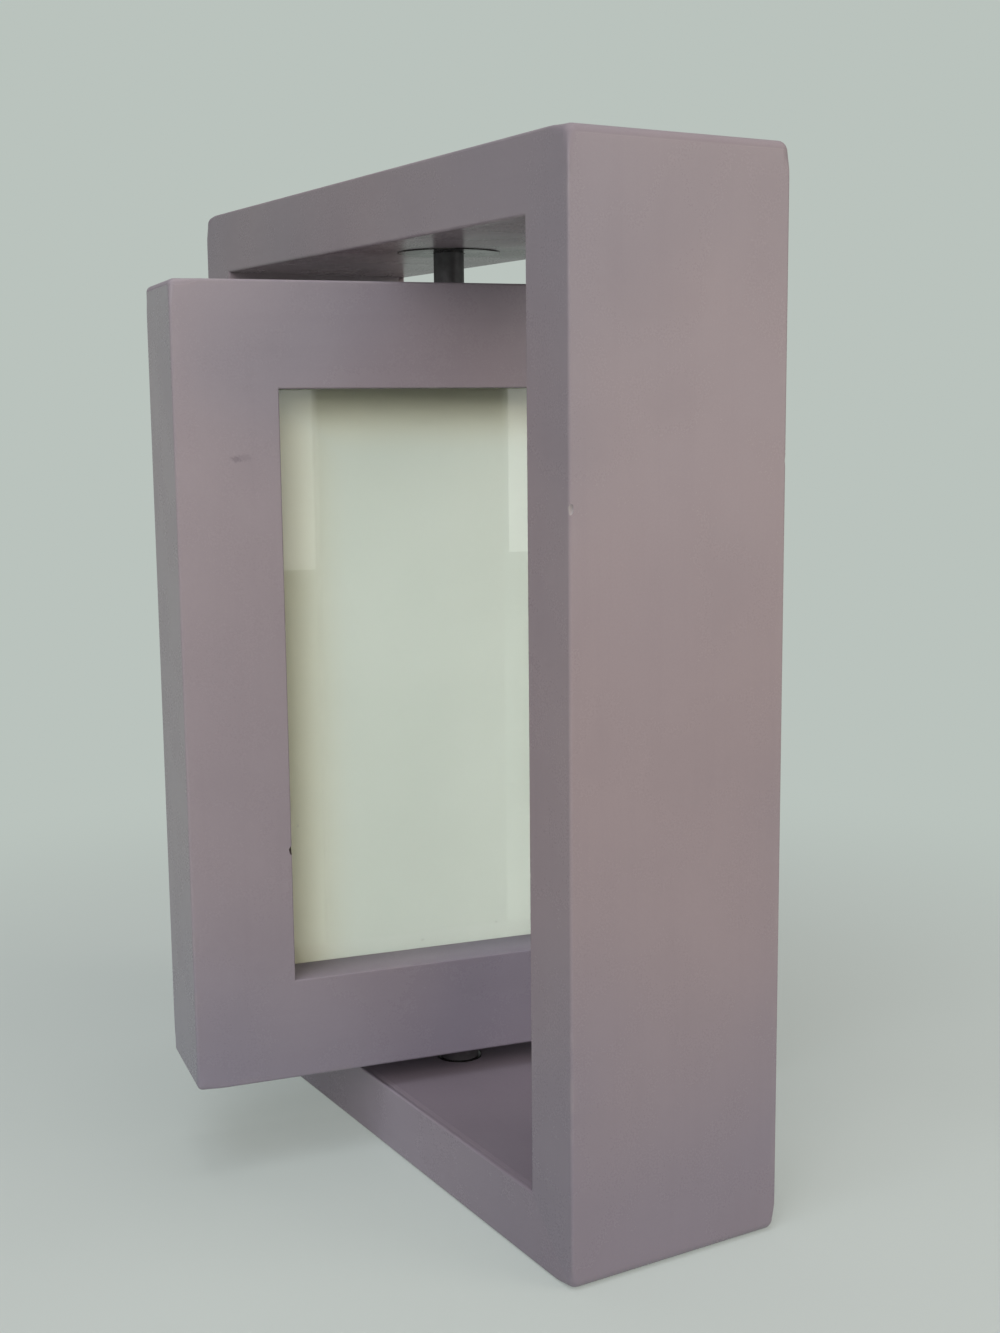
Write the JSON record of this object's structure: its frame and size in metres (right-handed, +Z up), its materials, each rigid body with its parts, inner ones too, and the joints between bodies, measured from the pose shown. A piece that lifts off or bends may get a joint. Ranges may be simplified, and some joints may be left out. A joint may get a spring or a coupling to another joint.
{
  "type": "swivel picture frame",
  "caption": "Standing box frame with a two-sided photo frame inside it that turns all the way round on steel posts.",
  "frame": {"origin": "on the turning axis, at the level of the flat face that the frame stands on; the axis is 1 mm in front of the middle of the boards", "axes": "+Z up along the turning axis, +X across the outer frame to its right, -Y out of its front"},
  "size_m": [0.1524, 0.1182, 0.1918],
  "materials": {
    "mauve_paint": "satin mauve-grey paint on wood",
    "bare_wood": "bare beech",
    "gunmetal": "dark gunmetal steel, satin",
    "black_nylon": "black nylon",
    "clear_sheet": "clear, polished",
    "cream_paper": "matt pale cream paper",
    "grey_card": "matt grey card"
  },
  "bodies": {
    "outer_frame": {"top_rail": "mauve_paint", "bottom_rail": "mauve_paint", "left_stile": "mauve_paint", "right_stile": "mauve_paint", "top_left_spline": "bare_wood", "top_right_spline": "bare_wood", "bottom_left_spline": "bare_wood", "bottom_right_spline": "bare_wood", "upper_bush": "gunmetal", "lower_bush": "gunmetal", "thrust_washer": "black_nylon"},
    "swivel_frame": {"inner_top_moulding": "mauve_paint", "inner_bottom_moulding": "mauve_paint", "inner_left_moulding": "mauve_paint", "inner_right_moulding": "mauve_paint", "inner_top_left_spline": "bare_wood", "inner_top_right_spline": "bare_wood", "inner_bottom_left_spline": "bare_wood", "inner_bottom_right_spline": "bare_wood", "upper_post": "gunmetal", "lower_post": "gunmetal", "front_pane": "clear_sheet", "back_pane": "clear_sheet", "front_insert": "cream_paper", "back_insert": "cream_paper", "spacer_card": "grey_card"}
  },
  "joints": [
    {"name": "swivel", "type": "hinge", "parent": "outer_frame", "child": "swivel_frame", "pos_m": [0, 0, 0.0951], "axis": [0, 0, 1], "continuous": true}
  ]
}
